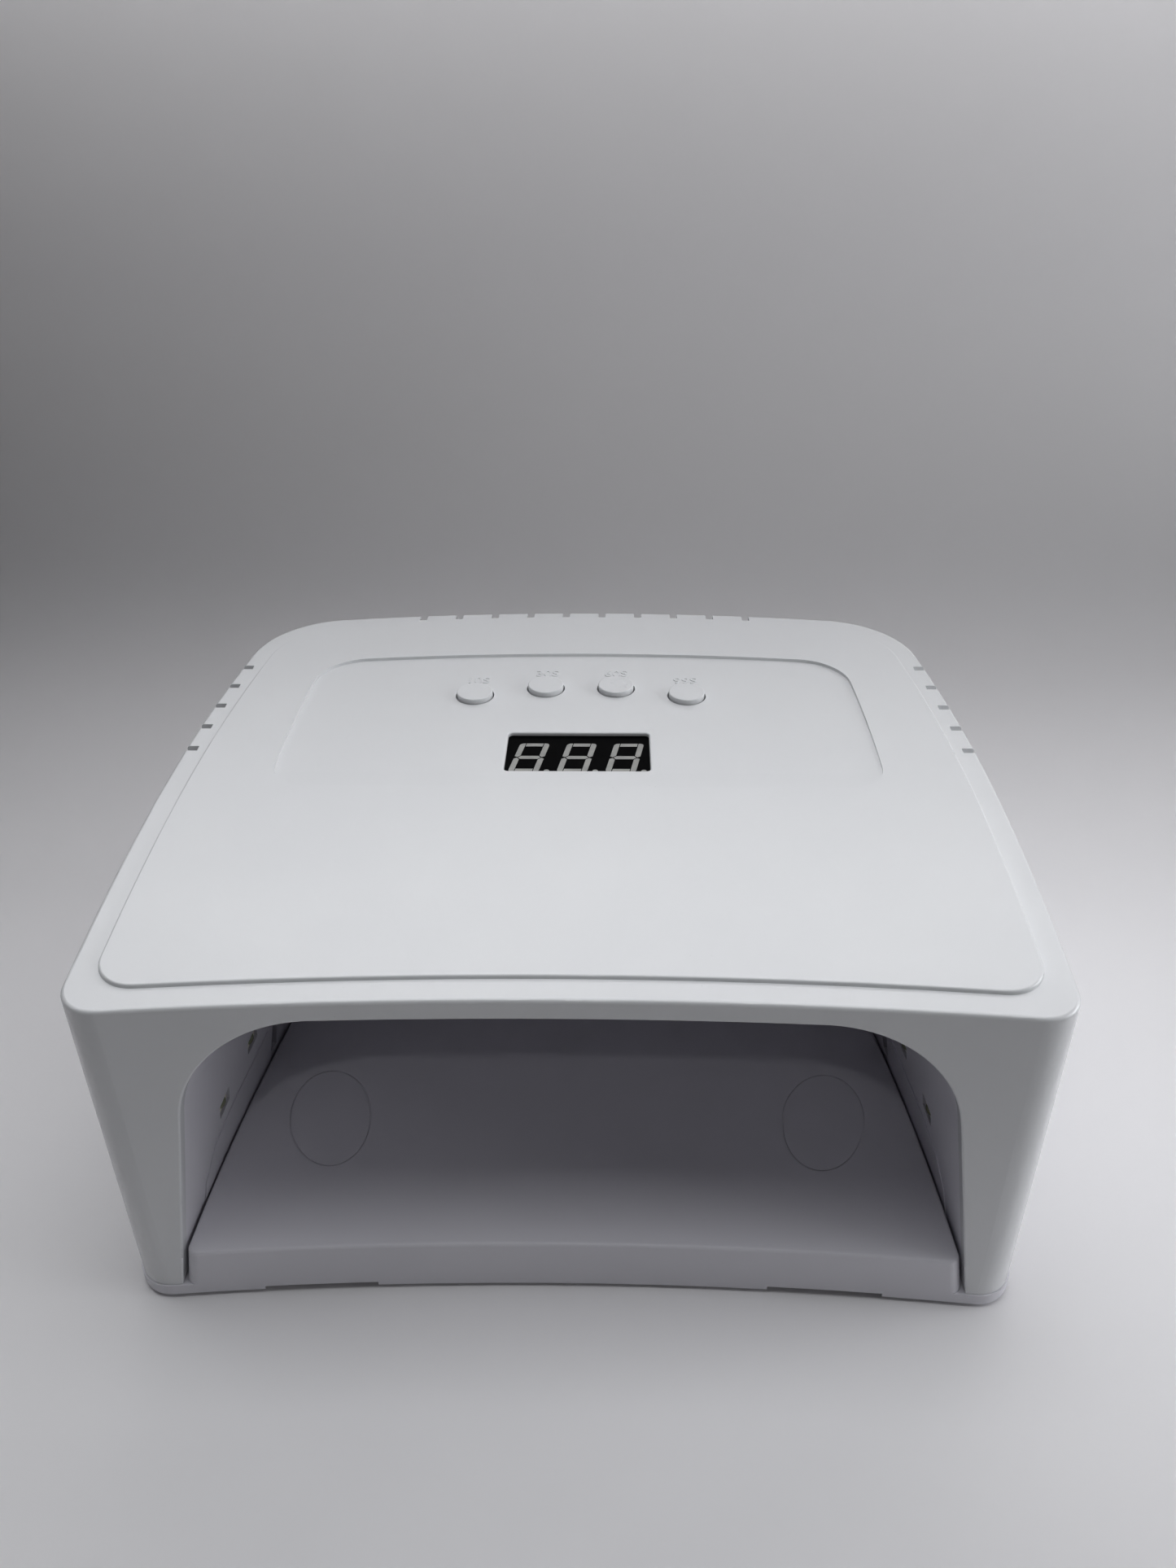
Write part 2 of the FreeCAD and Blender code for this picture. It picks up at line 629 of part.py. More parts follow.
def make_led_strips():
    """Flexible circuits behind the liner: one along each side, one round the rear."""
    skin = cavity_block(STRIP_FACE + STRIP).cut(cavity_block(STRIP_FACE))
    half = STRIP_HALF_HEIGHT
    front, back = SIDE_LED_YS[0] - 5.4, SIDE_LED_YS[-1] + 6.2
    band = [(front, led_row_z(front) - half), (back, led_row_z(back) - half),
            (back, led_row_z(back) + half), (front, led_row_z(front) + half)]
    right = skin.common(side_prism(band)).common(box(0, REACH, -REACH, REACH, 0, 99))
    rear = skin.common(box(-75, 75, 36, 99, REAR_LED_Z - half, REAR_LED_Z + half))
    return right, mirror_x(right), rear


def make_roof_board():
    return on_roof(box(-38, 38, -76, 24, LED_BACK, LED_BACK + STRIP), 0, 0)


def make_led_packages():
    tall, wide, thick = LED_SIZE
    package = box(-tall / 2, tall / 2, -wide / 2, wide / 2, LED_BACK - thick, LED_BACK)
    return group(at_every_led(package))


def make_led_lenses():
    front = LED_BACK - LED_SIZE[2]
    ball = Part.makeSphere(LED_LENS_R, V(0, 0, front + 1.3))
    return group(at_every_led(ball.common(box(-3, 3, -3, 3, front - 5, front))))


def make_sensor_pair():
    """Two domed infrared parts in the roof that see the hand arrive."""
    tip = V(0, 0, -2.0)
    body = Part.makeCylinder(SENSOR_R, LED_BACK + 2.0, tip).fuse(Part.makeSphere(SENSOR_R, tip))
    return group([on_roof(body, x, SENSOR_Y) for x in SENSOR_XS])


# ======================= controls =======================

def make_button():
    """Round cap on a flange that stops it under the top plate, with a short stem."""
    cap = cylinder(0, 0, BUTTON_SKIRT, BUTTON_PROUD, BUTTON_R)
    crown = [e for e in cap.Edges if e.BoundBox.ZMin > BUTTON_PROUD - 0.01]
    cap = cap.makeFillet(BUTTON_EDGE, crown)
    flange_foot = BUTTON_SKIRT - BUTTON_FLANGE
    flange = cylinder(0, 0, flange_foot, BUTTON_SKIRT, BUTTON_FLANGE_R)
    stem = cylinder(0, 0, STEM_BOTTOM, flange_foot, STEM_R)
    return fused([cap, flange, stem])


def make_switch_body():
    half = SWITCH_HALF
    body = box(-half, half, -half, half, BOARD_TOP, SWITCH_TOP)
    return body.cut(cylinder(0, 0, SWITCH_TOP - PLUNGER_SEAT, SWITCH_TOP + 1, PLUNGER_HOLE_R))


def make_plunger():
    return cylinder(0, 0, SWITCH_TOP - PLUNGER_DEPTH, STEM_BOTTOM, PLUNGER_R)


def make_control_board():
    width, depth = BOARD_SIZE
    board = rounded_prism(width, depth, 2.0, BOARD_BOTTOM, BOARD_TOP, (0.0, BOARD_Y))
    holes = [cylinder(x, y, BOARD_BOTTOM - 1, BOARD_TOP + 1, 1.5) for x, y in BOARD_SCREWS]
    return on_controls(board.cut(group(holes)))


def make_screw(x, y, seat, head_r, head_tall, shank_r, shank_long):
    """Cross-head screw driven upward, its head under the seat."""
    shank = cylinder(x, y, seat, seat + shank_long, shank_r)
    head = cylinder(x, y, seat - head_tall, seat, head_r)
    arm, half, low, deep = head_r / 2, 0.3, seat - head_tall - 0.2, seat - head_tall / 2
    cross = [box(x - arm, x + arm, y - half, y + half, low, deep),
             box(x - half, x + half, y - arm, y + arm, low, deep)]
    return head.fuse(shank).cut(group(cross))


def make_board_screws():
    return on_controls(group(make_screw(x, y, BOARD_BOTTOM, 2.4, 1.5, 1.1, BOARD_THICK + 4.5)
                             for x, y in BOARD_SCREWS))


def make_liner_screws():
    grip = EAR_TOP_Z - EAR_BOTTOM_Z
    return group(make_screw(x, y, EAR_BOTTOM_Z, 2.8, 1.8, 1.3, grip + 11.5)
                 for x, y in LINER_SCREWS)


def make_display_module():
    width, depth = DISPLAY_SIZE
    body = box(-width / 2, width / 2, DISPLAY_Y - depth / 2, DISPLAY_Y + depth / 2,
               BOARD_TOP, DISPLAY_FACE)
    return on_controls(body)


def digit_segments(centre_x):
    """Seven slanted bars and a decimal point of one digit, as thin plates."""
    half_w, half_h, bar, gap, thick = 3.25, 6.3, 1.5, 0.22, 0.05
    slant = math.tan(math.radians(10))
    b = bar / 2
    top, outer, inner, soft = half_h + b, half_w + b, half_w - b, 0.55
    plates = []

    def plate(points):
        wire = [V(centre_x + x + y * slant, DIGIT_Y + y, DISPLAY_FACE) for x, y in points]
        outline_wire = Part.makePolygon(wire + wire[:1])
        plates.append(Part.Face(outline_wire).extrude(V(0, 0, thick)))

    level = inner - gap
    for up in (-1, 1):
        low = up * (top - bar)
        plate([(-level, up * top), (level, up * top), (level, low), (-level, low)])
        for side in (-1, 1):
            plate([(side * (outer - 2 * soft), up * top),
                   (side * (outer - soft), up * (top - 0.12)),
                   (side * (outer - 0.12), up * (top - soft)),
                   (side * outer, up * (top - 2 * soft)),
                   (side * outer, up * (b / 2 + gap)),
                   (side * half_w, up * gap),
                   (side * inner, up * (b + gap)),
                   (side * inner, up * top)])
    tip = half_w - gap
    plate([(-tip, 0), (-tip + b, b), (tip - b, b), (tip, 0), (tip - b, -b), (-tip + b, -b)])
    dot = Part.makeCylinder(b, thick, V(centre_x + half_w + 1.65, DIGIT_Y - half_h - 0.35,
                                        DISPLAY_FACE))
    return plates + [dot]


def make_display_segments():
    return on_controls(group(plate for x in DIGIT_XS for plate in digit_segments(x)))


def make_control_chip():
    """Controller in a 16-lead package under the board."""
    x0, x1, y0, y1, thick, lead, pitch = -27.0, -17.0, 8.0, 14.0, 1.6, 1.2, 1.27
    body = box(x0, x1, y0, y1, BOARD_BOTTOM - thick, BOARD_BOTTOM)
    leads = []
    for i in range(8):
        x = x0 + 0.4 + pitch * i
        for y in (y0 - lead, y1):
            leads.append(box(x, x + 0.4, y, y + lead, BOARD_BOTTOM - thick / 2, BOARD_BOTTOM))
    return on_controls(fused([body] + leads))


def make_power_transistors():
    width, depth, thick, pitch = 6.5, 6.0, 2.3, 9.0
    blocks = [box(x, x + width, 24.0, 24.0 + depth, BOARD_BOTTOM - thick, BOARD_BOTTOM)
              for x in (14.0, 14.0 + pitch, 14.0 + 2 * pitch)]
    return on_controls(group(blocks))


def make_capacitor():
    radius, length = 3.1, 11.0
    return on_controls(Part.makeCylinder(radius, length, V(-30, 34, BOARD_BOTTOM - radius),
                                         V(1, 0, 0)))


def make_connectors():
    half_w, half_d = CONNECTOR_HALF
    blocks = [box(x - half_w, x + half_w, y - half_d, y + half_d,
                  BOARD_BOTTOM - CONNECTOR_DEEP, BOARD_BOTTOM) for x, y in CONNECTORS.values()]
    return on_controls(group(blocks))


# ======================= inlet and wires =======================

def rod(y0, y1, radius):
    """Cylinder along Y about the inlet's axis."""
    return Part.makeCylinder(radius, y1 - y0, V(0, y0, INLET_Z), V(0, 1, 0))


def make_dc_socket():
    back, shoulder, wall, face = 74.0, 80.0, 90.7, 91.5
    body = fused([rod(back, shoulder, 4.5), rod(shoulder, wall, INLET_BARREL_R),
                  rod(wall, face, 6.3)])
    body = body.cut(group([rod(shoulder + 0.5, face + 1, INLET_BORE_R), rod(79.0, 81.0, 1.0)]))
    tabs = [box(x - 1, x + 1, back - 3.4, back + 0.5, INLET_Z - 0.3, INLET_Z + 0.3)
            for x in TAB_XS]
    return body.multiFuse(tabs).removeSplitter()


def make_dc_pin():
    pin = rod(79.0, 90.0, 0.98)
    tip = [e for e in pin.Edges if e.BoundBox.YMin > 89.9]
    return pin.makeFillet(0.5, tip)


def make_inlet_nut():
    across, face, thick = 8.2, 84.9, 2.6
    turns = [math.radians(60 * i) for i in range(7)]
    corners = [V(across * math.cos(t), face, INLET_Z + across * math.sin(t)) for t in turns]
    plate = Part.Face(Part.makePolygon(corners)).extrude(V(0, thick, 0))
    return plate.cut(rod(face - 1, face + thick + 1, INLET_BARREL_R + 0.03))


def connector_foot(name, x_shift=0.0, y_shift=0.0):
    """Point on the underside of a connector on the board."""
    x, y = CONNECTORS[name]
    foot = Part.Vertex(x + x_shift, y + y_shift, BOARD_BOTTOM - CONNECTOR_DEEP - 0.02)
    return on_controls(foot).Point


def make_power_wires():
    """Two wires from the inlet's tabs, up behind the reflector and forward to the board."""
    wires = []
    for x in TAB_XS:
        foot = connector_foot("power", x)
        path = [V(x, 72.4, INLET_Z + 0.32), V(x, 72.4, 70), V(x, 66, 77), foot - V(0, 0, 2.6), foot]
        wires.append(tube(path, 0.6, 2.0))
    return group(wires)


def make_led_wires():
    """A pair of thin wires from the board to each LED strip and to the roof board."""
    radius, clear = 0.45, 0.2
    middle = STRIP_FACE + STRIP / 2
    wires = []
    for shift in (-0.9, 0.9):
        foot = connector_foot("rear", shift)
        x = CONNECTORS["rear"][0] + shift
        z = REAR_LED_Z + STRIP_HALF_HEIGHT + clear
        y = rear_wall_y(x, z, middle)
        wires.append(tube([V(x, y, z), V(x, y + 4, z + 12), V(x, y + 4, 74),
                           foot - V(0, 0, 3), foot], radius, 1.6))
        foot = connector_foot("right", 0.0, shift)
        z = led_row_z(foot.y) + STRIP_HALF_HEIGHT + clear
        x = side_wall_x(foot.y, z, middle)
        low = foot - V(0, 0, 1.6)
        right = tube([V(x, foot.y, z), V(x + 3, foot.y, z + 10), V(x + 3, foot.y, low.z),
                      low, foot], radius, 1.4)
        wires += [right, mirror_x(right)]
    for shift in (-2.0, 2.0):
        foot = connector_foot("roof", shift)
        top = ROOF_Z + ROOF_SLOPE * foot.y + LED_BACK + STRIP + 0.08
        wires.append(Part.makeCylinder(radius, foot.z - top, V(foot.x, foot.y, top)))
    return group(wires)


# ======================= floor tray =======================

def make_raised_floor(reach):
    """The raised floor, rounded at its front corners and then all round its top edge."""
    column = housing_prism(FOOT_STAND, TRAY_FLOOR_Z, reach, FLANGE_FRONT_OUT, FLANGE_OUT)
    block = cavity_block(-TRAY_GAP).common(column)
    upright = [e for e in block.Edges if e.BoundBox.ZLength > 5 and e.BoundBox.YMax < FRONT_Y + 6]
    block = block.makeFillet(TRAY_FRONT_CORNER_R, upright)
    return block.makeFillet(LIP_R, [e for e in block.Edges
                                    if e.BoundBox.ZMin > TRAY_FLOOR_Z - 0.01])


def make_base_tray():
    """Flange that carries the housing, round a raised floor with a soft front lip."""
    reach = WALL_DRAFT + FLANGE_OUT
    flange = housing_prism(FOOT_STAND, FLANGE_TOP_Z, reach, FLANGE_FRONT_OUT, FLANGE_OUT)
    tray = flange.fuse(make_raised_floor(reach))
    front_inset = FLANGE_FRONT_OUT - TRAY_FRONT_SKIN
    hollow = housing_prism(FOOT_STAND - 1, TRAY_FLOOR_Z - TRAY_SKIN, reach, front_inset,
                           front_inset)
    hollow = cavity_block(-TRAY_GAP - TRAY_SKIN).common(hollow)
    ribs = [box(-REACH, REACH, y - RIB_HALF, y + RIB_HALF, 0, 20) for y in RIB_YS]
    ribs += [box(x - RIB_HALF, x + RIB_HALF, -REACH, REACH, 0, 20) for x in RIB_XS]
    tray = tray.cut(hollow.cut(group(ribs)))
    feet = [cylinder(x, y, 0, FOOT_STAND + FOOT_SEAT, FOOT_R + 0.05) for x, y in FEET]
    magnets = [cylinder(x, y, FLANGE_TOP_Z - 2.1, FLANGE_TOP_Z + 1, MAGNET_POCKET_R)
               for x, y in MAGNETS]
    notch = box(*NOTCH_XS, FRONT_Y - 14, FRONT_Y + 3.5, 0, FOOT_STAND + 1.0)
    return tray.cut(group(feet + magnets + [notch, mirror_x(notch)] + oval_grooves()))


def oval_grooves():
    """Hairline ovals in the tray's floor, one each side, splayed outward to the rear."""
    grooves = []
    for side in (-1, 1):
        place = V(side * OVAL_PLACE[0], OVAL_PLACE[1], TRAY_FLOOR_Z - OVAL_DEPTH)
        turn = Rotation(V(0, 0, 1), 90 - side * OVAL_SPLAY)
        discs = []
        for inset in (0.0, OVAL_LINE):
            ellipse = Part.Ellipse(V(0, 0, 0), OVAL_RADII[0] - inset, OVAL_RADII[1] - inset)
            disc = Part.Face(Part.Wire(ellipse.toShape())).extrude(V(0, 0, 5))
            disc.Placement = Placement(place, turn)
            discs.append(disc)
        grooves.append(discs[0].cut(discs[1]))
    return grooves


def make_rubber_feet():
    feet = []
    for x, y in FEET:
        pad = cylinder(x, y, 0.0, FOOT_STAND + FOOT_SEAT, FOOT_R)
        sole = [e for e in pad.Edges if e.BoundBox.ZMax < 0.01]
        feet.append(pad.makeFillet(0.3, sole))
    return group(feet)


def make_magnets(z0, z1):
    return group(cylinder(x, y, z0, z1, MAGNET_R) for x, y in MAGNETS)


# ======================= the assembly =======================

def build():
    cavity = cavity_block(0.0)
    parts = {"top_shell": make_top_shell(cavity), "inner_liner": make_inner_liner(cavity)}
    right, left, rear = make_led_strips()
    parts["led_strip_right"] = right
    parts["led_strip_left"] = left
    parts["led_strip_rear"] = rear
    parts["led_board_roof"] = make_roof_board()
    parts["led_packages"] = make_led_packages()
    parts["led_lenses"] = make_led_lenses()
    parts["hand_sensor_pair"] = make_sensor_pair()
    parts["liner_screws"] = make_liner_screws()
    parts["control_board"] = make_control_board()
    parts["control_board_screws"] = make_board_screws()
    parts["control_chip"] = make_control_chip()
    parts["power_transistors"] = make_power_transistors()
    parts["smoothing_capacitor"] = make_capacitor()
    parts["board_connectors"] = make_connectors()
    parts["display_module"] = make_display_module()
    parts["display_segments"] = make_display_segments()
    places = BUTTON_PLACES.values()
    parts["switch_bodies"] = group(on_controls(make_switch_body(), x, y) for x, y in places)
    for name, (x, y) in BUTTON_PLACES.items():
        parts["button_" + name] = on_controls(make_button(), x, y)
        parts["switch_plunger_" + name] = on_controls(make_plunger(), x, y)
    parts["dc_socket"] = make_dc_socket()
    parts["dc_socket_pin"] = make_dc_pin()
    parts["dc_socket_nut"] = make_inlet_nut()
    parts["power_wires"] = make_power_wires()
    parts["led_wires"] = make_led_wires()
    parts["housing_magnets"] = make_magnets(HOUSING_BOTTOM_Z + 0.1, HOUSING_BOTTOM_Z + 3.1)
    parts["tray_magnets"] = make_magnets(FLANGE_TOP_Z - 2.1, FLANGE_TOP_Z - 0.1)
    parts["base_tray"] = make_base_tray()
    parts["rubber_feet"] = make_rubber_feet()
    return parts


def main():
    os.makedirs("parts", exist_ok=True)
    for name, shape in build().items():
        size = shape.BoundBox
        print(name, shape.isValid(), len(shape.Solids), round(shape.Volume / 1000, 3), "cm3",
              round(size.XLength, 1), round(size.YLength, 1), round(size.ZLength, 1))
        shape.exportStep("parts/" + name + ".step")


if __name__ == "__main__":
    main()
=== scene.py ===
import json
import math
import bpy
import bmesh
from mathutils import Matrix, Vector


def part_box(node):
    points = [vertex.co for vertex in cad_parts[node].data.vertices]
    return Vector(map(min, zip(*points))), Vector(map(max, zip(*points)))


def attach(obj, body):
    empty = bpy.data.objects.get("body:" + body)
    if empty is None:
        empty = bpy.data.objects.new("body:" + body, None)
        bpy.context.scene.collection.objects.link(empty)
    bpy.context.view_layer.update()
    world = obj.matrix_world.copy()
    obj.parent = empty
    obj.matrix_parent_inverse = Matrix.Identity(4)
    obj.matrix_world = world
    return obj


# Gel nail curing lamp. Metres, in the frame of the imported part: +Z up, table at z = 0, the hand
# opening faces -Y.

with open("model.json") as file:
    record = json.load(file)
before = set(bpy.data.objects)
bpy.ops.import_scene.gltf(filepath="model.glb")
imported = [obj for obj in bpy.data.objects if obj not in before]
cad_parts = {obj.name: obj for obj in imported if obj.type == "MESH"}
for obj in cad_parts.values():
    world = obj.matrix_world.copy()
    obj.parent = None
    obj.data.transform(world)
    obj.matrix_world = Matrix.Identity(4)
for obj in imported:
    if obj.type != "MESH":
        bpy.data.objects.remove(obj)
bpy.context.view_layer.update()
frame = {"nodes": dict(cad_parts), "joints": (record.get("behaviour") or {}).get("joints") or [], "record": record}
nodes = frame["nodes"]

# ---- Camera ----
CAMERA_PLACE = Vector((0.0089, -0.2642, 0.2521))
CAMERA_YAW = math.radians(1.33)
CAMERA_PITCH = math.radians(31.72)
CAMERA_ROLL = math.radians(0.48)
CAMERA_LENS = 27.03
CAMERA_SENSOR = 36.0
CAMERA_NEAR = 0.01

# ---- Picture: a little more contrast than plain sRGB ----
PICTURE_EXPOSURE = 0.1
PICTURE_GAMMA = 0.87

# ---- Studio: a pale sweep, soft lamps round the object, and one on the back wall ----
SWEEP_HALF_WIDTH = 1.1
SWEEP_FRONT = -1.3
SWEEP_BACK = 0.40
SWEEP_TOP = 1.1
SWEEP_RADIUS = 0.16
SWEEP_STEPS = 24
PALE = (0.97, 0.985, 1.0)
WHITE = (1.0, 1.0, 1.0)
BACKDROP_STRENGTH = 0.40
# Each lamp: place, width and depth, power in watts, colour, the point it faces, and its beam
# angle in degrees
LAMPS = {
    "overhead": ((0.0, -0.085, 0.46), (0.44, 0.25), 0.30, PALE, (0.0, -0.085, 0.0), 100.0),
    "right": ((0.75, -0.10, 0.25), (0.5, 0.4), 1.5, PALE, (0.0, 0.0, 0.03), 180.0),
    "right_low": ((0.50, 0.0, 0.20), (0.3, 0.25), 0.16, PALE, (0.1, -0.02, 0.04), 100.0),
    "left": ((-0.36, 0.03, 0.50), (0.2, 0.2), 0.10, PALE, (-0.30, -0.04, 0.0), 90.0),
    "wall": ((0.14, 0.17, 0.57), (1.2, 0.15), 2.5, WHITE, (0.14, SWEEP_BACK, 0.57), 150.0),
    "front": ((-0.015, -0.61, 0.69), (0.02, 0.02), 0.27, WHITE, (0.0, -0.09, 0.08), 180.0),
}

# ---- Key legends: raised figures behind each key ----
LEGENDS = {"10s": "10S", "30s": "30S", "60s": "60S", "99s": "99S"}
LEGEND_SIZE = 0.0048
LEGEND_STEP = 0.0087
LEGEND_RAISE = 0.00014
LEGEND_PROBE = 0.01     # how far above a key's middle the pocket floor is looked for

# ---- Textures: features to a metre, relief in metres ----
NOISE_LOW, NOISE_HIGH = 0.3, 0.7    # where most of a noise lies
DRIFT_SCALE = 14.0                  # slow drift of a plastic's colour
DRIFT_LOW, DRIFT_HIGH = 0.35, 0.65
SCUFF_SCALE = 420.0                 # small scuffs, only in patches
SCUFF_INNER, SCUFF_OUTER = 0.02, 0.05
SCUFF_SHADE = 0.72
PATCH_SCALE = 60.0
PATCH_LOW, PATCH_HIGH = 0.62, 0.66
PLASTIC_GLOSS_SCALE = 55.0
GRAIN_SCALE = 2600.0                # the mould's texture
SMOOTH_GRAIN, FINE_GRAIN, GRAIN = 0.000002, 0.000008, 0.00001
FLOW_SCALE = 40.0                   # waves where the melt flowed
FLOW_DEPTH = 0.000006
MOTTLE_SCALE = 300.0
STREAK_SCALE = 500.0                # marks on plated metal
STREAK_DEPTH = 0.000004
TRACK_WIDTH = 0.03                  # copper tracks, in the brick texture's own units
TRACK_DEPTH = 0.00002


# ======================= studio =======================

def make_camera():
    data = bpy.data.cameras.new("camera")
    data.lens = CAMERA_LENS
    data.sensor_width = CAMERA_SENSOR
    data.clip_start = CAMERA_NEAR
    camera = bpy.data.objects.new("camera", data)
    heading = Matrix.Rotation(CAMERA_YAW, 4, "Z")
    tilt = Matrix.Rotation(math.pi / 2 - CAMERA_PITCH, 4, "X")
    roll = Matrix.Rotation(-CAMERA_ROLL, 4, "Z")
    camera.matrix_world = Matrix.Translation(CAMERA_PLACE) @ heading @ tilt @ roll
    bpy.context.scene.collection.objects.link(camera)
    bpy.context.scene.camera = camera


def make_sweep(material):
    """Floor that curves up into a back wall, as one smooth sheet."""
    profile = [(SWEEP_FRONT, 0.0), (SWEEP_BACK - SWEEP_RADIUS, 0.0)]
    for i in range(1, SWEEP_STEPS + 1):
        angle = math.pi / 2 * i / SWEEP_STEPS
        profile.append((SWEEP_BACK - SWEEP_RADIUS + SWEEP_RADIUS * math.sin(angle),
                        SWEEP_RADIUS - SWEEP_RADIUS * math.cos(angle)))
    profile.append((SWEEP_BACK, SWEEP_TOP))
    mesh = bmesh.new()
    rows = [[mesh.verts.new((side * SWEEP_HALF_WIDTH, y, z)) for side in (-1, 1)]
            for y, z in profile]
    for near, far in zip(rows, rows[1:]):
        face = mesh.faces.new((near[0], near[1], far[1], far[0]))
        face.smooth = True
    sweep = add_object("sweep", mesh)
    sweep.data.materials.append(material)


def make_lights():
    for name, (place, size, power, colour, aim, beam) in LAMPS.items():
        data = bpy.data.lights.new(name, "AREA")
        data.shape = "RECTANGLE"
        data.size, data.size_y = size
        data.energy = power
        data.color = colour
        data.spread = math.radians(beam)
        lamp = bpy.data.objects.new(name, data)
        lamp.location = place
        lamp.rotation_euler = (Vector(aim) - Vector(place)).to_track_quat("-Z", "Y").to_euler()
        bpy.context.scene.collection.objects.link(lamp)


def make_backdrop():
    """Pale surroundings, seen beyond the sweep, that give no light of their own."""
    world = bpy.data.worlds.new("backdrop")
    bpy.context.scene.world = world
    world.use_nodes = True
    world.node_tree.nodes["Background"].inputs["Color"].default_value = (*PALE, 1.0)
    world.node_tree.nodes["Background"].inputs["Strength"].default_value = BACKDROP_STRENGTH
    for ray in ("diffuse", "glossy", "transmission", "scatter"):
        setattr(world.cycles_visibility, ray, False)


# ======================= mesh helpers =======================

def add_object(name, mesh):
    """Turn a bmesh into an object in the scene."""
    data = bpy.data.meshes.new(name)
    mesh.to_mesh(data)
    mesh.free()
    thing = bpy.data.objects.new(name, data)
    bpy.context.scene.collection.objects.link(thing)
    return thing


# ======================= materials =======================

class Recipe:
    """A material being built: one principled shader, textured in the object's own space."""

    def __init__(self, name):
        self.material = bpy.data.materials.new(name)
        self.material.use_nodes = True
        self.tree = self.material.node_tree
        self.shader = self.tree.nodes["Principled BSDF"]
        self.space = self.tree.nodes.new("ShaderNodeTexCoord").outputs["Object"]

    def node(self, kind, **settings):
        made = self.tree.nodes.new(kind)
        for name, value in settings.items():
            setattr(made, name, value)
        return made

    def join(self, output, socket):
        self.tree.links.new(output, socket)

    def fixed(self, **values):
        """Set sockets of the shader that are the same all over the surface."""
        for name, value in values.items():
            self.shader.inputs[name.replace("_", " ")].default_value = value

    def stretched(self, scale):
        """Object space stretched along its axes, for grain that runs one way."""
        mapping = self.node("ShaderNodeMapping")
        mapping.inputs["Scale"].default_value = scale
        self.join(self.space, mapping.inputs["Vector"])
        return mapping.outputs["Vector"]

    def noise(self, scale, detail, space=None):
        made = self.node("ShaderNodeTexNoise")
        made.inputs["Scale"].default_value = scale
        made.inputs["Detail"].default_value = detail
        self.join(space or self.space, made.inputs["Vector"])
        return made.outputs["Fac"]

    def cells(self, scale):
        made = self.node("ShaderNodeTexVoronoi")
        made.inputs["Scale"].default_value = scale
        self.join(self.space, made.inputs["Vector"])
        return made.outputs["Distance"]

    def spread(self, value, low, high, to_low, to_high):
        made = self.node("ShaderNodeMapRange")
        for socket, amount in zip(("From Min", "From Max", "To Min", "To Max"),
                                  (low, high, to_low, to_high)):
            made.inputs[socket].default_value = amount
        self.join(value, made.inputs["Value"])
        return made.outputs["Result"]

    def times(self, first, second):
        made = self.node("ShaderNodeMath", operation="MULTIPLY")
        self.join(first, made.inputs[0])
        self.join(second, made.inputs[1])
        return made.outputs["Value"]

    def tint(self, factor, low, high):
        """Colour that runs from low to high; either may be another node's colour output."""
        made = self.node("ShaderNodeMix", data_type="RGBA")
        self.join(factor, made.inputs["Factor"])
        for name, colour in (("A", low), ("B", high)):
            self.fill(made, name, colour)
        return next(o for o in made.outputs if o.type == "RGBA")

    def fill(self, made, name, colour):
        """Give a node's colour input a fixed colour or another node's output."""
        socket = next(i for i in made.inputs if i.name == name and i.type == "RGBA")
        if isinstance(colour, tuple):
            socket.default_value = (*colour, 1.0)
        else:
            self.join(colour, socket)

    def paint(self, colour):
        self.join(colour, self.shader.inputs["Base Color"])

    def gloss(self, roughness):
        self.join(roughness, self.shader.inputs["Roughness"])

    def uneven_gloss(self, scale, detail, low, high):
        """Roughness that wanders between low and high."""
        self.gloss(self.spread(self.noise(scale, detail), NOISE_LOW, NOISE_HIGH, low, high))

    def relief(self, layers):
        """Stack height textures into one bump, each given as (height, depth in metres)."""
        normal = None
        for height, depth in layers:
            made = self.node("ShaderNodeBump")
            made.inputs["Strength"].default_value = 1.0
            made.inputs["Distance"].default_value = depth
            self.join(height, made.inputs["Height"])
            if normal is not None:
                self.join(normal, made.inputs["Normal"])
            normal = made.outputs["Normal"]
        self.join(normal, self.shader.inputs["Normal"])


def moulded_plastic(name, pale, deep, rough, grain, coat=0.0, coat_rough=0.12):
    """Injection-moulded plastic: faint colour drift, mould grain, flow waves, tiny scuffs."""
    made = Recipe(name)
    drift = made.noise(DRIFT_SCALE, 3.0)
    scuffs = made.spread(made.cells(SCUFF_SCALE), SCUFF_INNER, SCUFF_OUTER, 1.0, 0.0)
    patches = made.spread(made.noise(PATCH_SCALE, 2.0), PATCH_LOW, PATCH_HIGH, 0.0, 1.0)
    base = made.tint(made.spread(drift, DRIFT_LOW, DRIFT_HIGH, 0.0, 1.0), pale, deep)
    dull = tuple(SCUFF_SHADE * c for c in deep)
    made.paint(made.tint(made.times(scuffs, patches), base, dull))
    made.uneven_gloss(PLASTIC_GLOSS_SCALE, 5.0, rough - 0.05, rough + 0.06)
    made.relief([(made.noise(GRAIN_SCALE, 2.0), grain),
                 (made.noise(FLOW_SCALE, 1.0), FLOW_DEPTH)])
    made.fixed(Coat_Weight=coat, Coat_Roughness=coat_rough, IOR=1.5)
    return made.material


def tinted_gloss(name, pale, deep, rough):
    """Smooth glossy part with a slight mottle."""
    made = Recipe(name)
    made.paint(made.tint(made.noise(MOTTLE_SCALE, 3.0), pale, deep))
    made.uneven_gloss(MOTTLE_SCALE * 2, 3.0, rough * 0.8, rough * 1.25)
    made.relief([(made.noise(MOTTLE_SCALE * 6, 1.0), 0.000003)])
    return made.material


